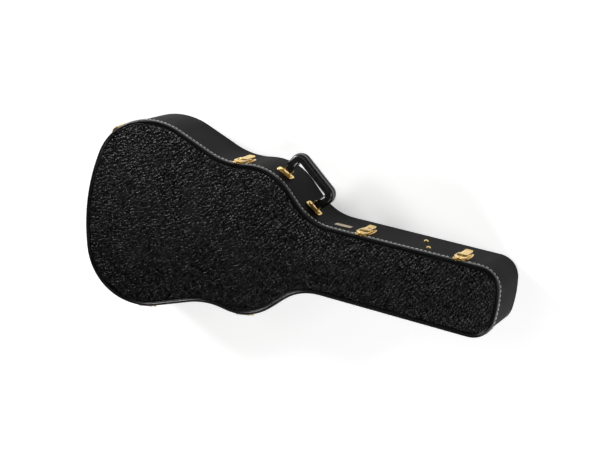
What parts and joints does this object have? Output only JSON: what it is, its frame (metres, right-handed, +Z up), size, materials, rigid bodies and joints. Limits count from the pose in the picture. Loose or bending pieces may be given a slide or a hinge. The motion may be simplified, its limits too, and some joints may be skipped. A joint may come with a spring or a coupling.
{
  "type": "guitar case",
  "caption": "Hard guitar case that lies flat, with a hinged stitched lid, draw latches with hasps, a swinging carry handle, a fitted plush interior and a lidded compartment.",
  "frame": {"origin": "centre of the flat underside, at mid-length and on the centreline", "axes": "+X along the length towards the head end, +Y towards the side with the handle and latches, +Z up from the base to the lid"},
  "size_m": [1.075, 0.4715, 0.16],
  "materials": {
    "smooth_vinyl": "smooth black vinyl cloth with a faint grain",
    "pebbled_vinyl": "coarse pebble-grained black leatherette",
    "rim_vinyl": "black leatherette drawn over a padded rim",
    "plush": "short black plush",
    "plush_foam": "black plush over foam",
    "plywood": "bare poplar plywood",
    "lip_strip": "black fibre strip",
    "grip_plastic": "glossy moulded black",
    "thread": "white waxed thread",
    "ribbon": "black woven ribbon",
    "steel_pin": "plated pin, polished",
    "plate_brass": "thin satin gold plate",
    "lock_brass": "polished key barrel",
    "gold_hardware": "polished gold-plated pressed steel"
  },
  "bodies": {
    "lid": {"lid_side_cover": "smooth_vinyl", "lid_wall_latch_side": "plywood", "lid_wall_hinge_side": "plywood", "lid_lining": "plush", "lid_panel": "plywood", "lid_pad": "plush_foam", "lid_face_cover": "pebbled_vinyl", "lid_rim": "rim_vinyl", "latch_butt_keeper": "gold_hardware", "latch_waist_keeper": "gold_hardware", "latch_neck_keeper": "gold_hardware", "latch_head_keeper": "gold_hardware", "hinge_lower_lid_leaf": "gold_hardware", "hinge_upper_lid_leaf": "gold_hardware", "lid_rivets": "gold_hardware", "lid_stitching": "thread"},
    "handle": {"handle_grip": "grip_plastic", "handle_welt": "grip_plastic"},
    "box_cover": {"box_lid": "plush", "box_lid_tab": "ribbon"},
    "latch_butt_lever": {"latch_butt_lever": "gold_hardware"},
    "latch_butt_hasp": {"latch_butt_hasp": "gold_hardware"},
    "latch_waist_lever": {"latch_waist_lever": "gold_hardware"},
    "latch_waist_hasp": {"latch_waist_hasp": "gold_hardware"},
    "latch_neck_lever": {"latch_neck_lever": "gold_hardware"},
    "latch_neck_hasp": {"latch_neck_hasp": "gold_hardware"},
    "latch_head_lever": {"latch_head_lever": "gold_hardware"},
    "latch_head_hasp": {"latch_head_hasp": "gold_hardware"},
    "latch_neck_key_plug": {"latch_neck_key_plug": "lock_brass"},
    "base": {"base_bottom_cover": "smooth_vinyl", "base_bottom_panel": "plywood", "base_side_cover": "smooth_vinyl", "base_wall_latch_side": "plywood", "body_pad_latch_side": "plush_foam", "base_wall_hinge_side": "plywood", "body_pad_hinge_side": "plush_foam", "base_lining": "plush", "base_lip": "lip_strip", "floor_pad": "plush_foam", "box_wall_body_end": "plush", "box_wall_head_end": "plush", "neck_cradle": "plush_foam", "head_pad": "plush_foam", "latch_butt_plate": "gold_hardware", "latch_waist_plate": "gold_hardware", "latch_neck_plate": "gold_hardware", "latch_head_plate": "gold_hardware", "latch_pins": "steel_pin", "hinge_lower_base_leaf": "gold_hardware", "hinge_lower_pin": "steel_pin", "hinge_upper_base_leaf": "gold_hardware", "hinge_upper_pin": "steel_pin", "base_rivets": "gold_hardware", "handle_bracket_front": "gold_hardware", "handle_bracket_rear": "gold_hardware", "handle_pins": "steel_pin", "cradle_studs": "gold_hardware", "name_plate": "plate_brass"}
  },
  "joints": [
    {"name": "lid_hinge", "type": "hinge", "parent": "base", "child": "lid", "pos_m": [-0.33708, -0.23274, 0.133], "axis": [0.9838, 0.1793, 0], "range_deg": [0, 100]},
    {"name": "handle_swing", "type": "hinge", "parent": "base", "child": "handle", "pos_m": [0.00786, 0.14653, 0.097], "axis": [0.7814, -0.6241, 0], "range_deg": [-60, 60]},
    {"name": "box_lid_hinge", "type": "hinge", "parent": "base", "child": "box_cover", "pos_m": [0.167, -0.0695, 0.0657], "axis": [1, 0, 0], "range_deg": [0, 24]},
    {"name": "latch_butt_swing", "type": "hinge", "parent": "base", "child": "latch_butt_lever", "pos_m": [-0.48449, 0.18814, 0.115], "axis": [0.6898, 0.724, 0], "range_deg": [0, 150]},
    {"name": "latch_butt_hasp_turn", "type": "hinge", "parent": "latch_butt_lever", "child": "latch_butt_hasp", "pos_m": [-0.48449, 0.18814, 0.104], "axis": [0.6898, 0.724, 0], "range_deg": [-150, 0]},
    {"name": "latch_waist_swing", "type": "hinge", "parent": "base", "child": "latch_waist_lever", "pos_m": [-0.14748, 0.182, 0.115], "axis": [0.9976, 0.0695, 0], "range_deg": [0, 150]},
    {"name": "latch_waist_hasp_turn", "type": "hinge", "parent": "latch_waist_lever", "child": "latch_waist_hasp", "pos_m": [-0.14748, 0.182, 0.104], "axis": [0.9976, 0.0695, 0], "range_deg": [-150, 0]},
    {"name": "latch_neck_swing", "type": "hinge", "parent": "base", "child": "latch_neck_lever", "pos_m": [0.18598, 0.08659, 0.115], "axis": [1, 0.0055, 0], "range_deg": [0, 150]},
    {"name": "latch_neck_hasp_turn", "type": "hinge", "parent": "latch_neck_lever", "child": "latch_neck_hasp", "pos_m": [0.18598, 0.08659, 0.104], "axis": [1, 0.0055, 0], "range_deg": [-150, 0]},
    {"name": "latch_head_swing", "type": "hinge", "parent": "base", "child": "latch_head_lever", "pos_m": [0.42748, 0.08793, 0.115], "axis": [1, 0.0055, 0], "range_deg": [0, 150]},
    {"name": "latch_head_hasp_turn", "type": "hinge", "parent": "latch_head_lever", "child": "latch_head_hasp", "pos_m": [0.42748, 0.08793, 0.104], "axis": [1, 0.0055, 0], "range_deg": [-150, 0]},
    {"name": "latch_neck_key_turn", "type": "hinge", "parent": "latch_neck_lever", "child": "latch_neck_key_plug", "pos_m": [0.18602, 0.08039, 0.091], "axis": [-0.0055, 1, 0], "range_deg": [0, 90]}
  ],
  "couplings": [
    {"joint": "latch_butt_hasp_turn", "follows": "latch_butt_swing", "ratio": -1},
    {"joint": "latch_waist_hasp_turn", "follows": "latch_waist_swing", "ratio": -1},
    {"joint": "latch_neck_hasp_turn", "follows": "latch_neck_swing", "ratio": -1},
    {"joint": "latch_head_hasp_turn", "follows": "latch_head_swing", "ratio": -1}
  ]
}
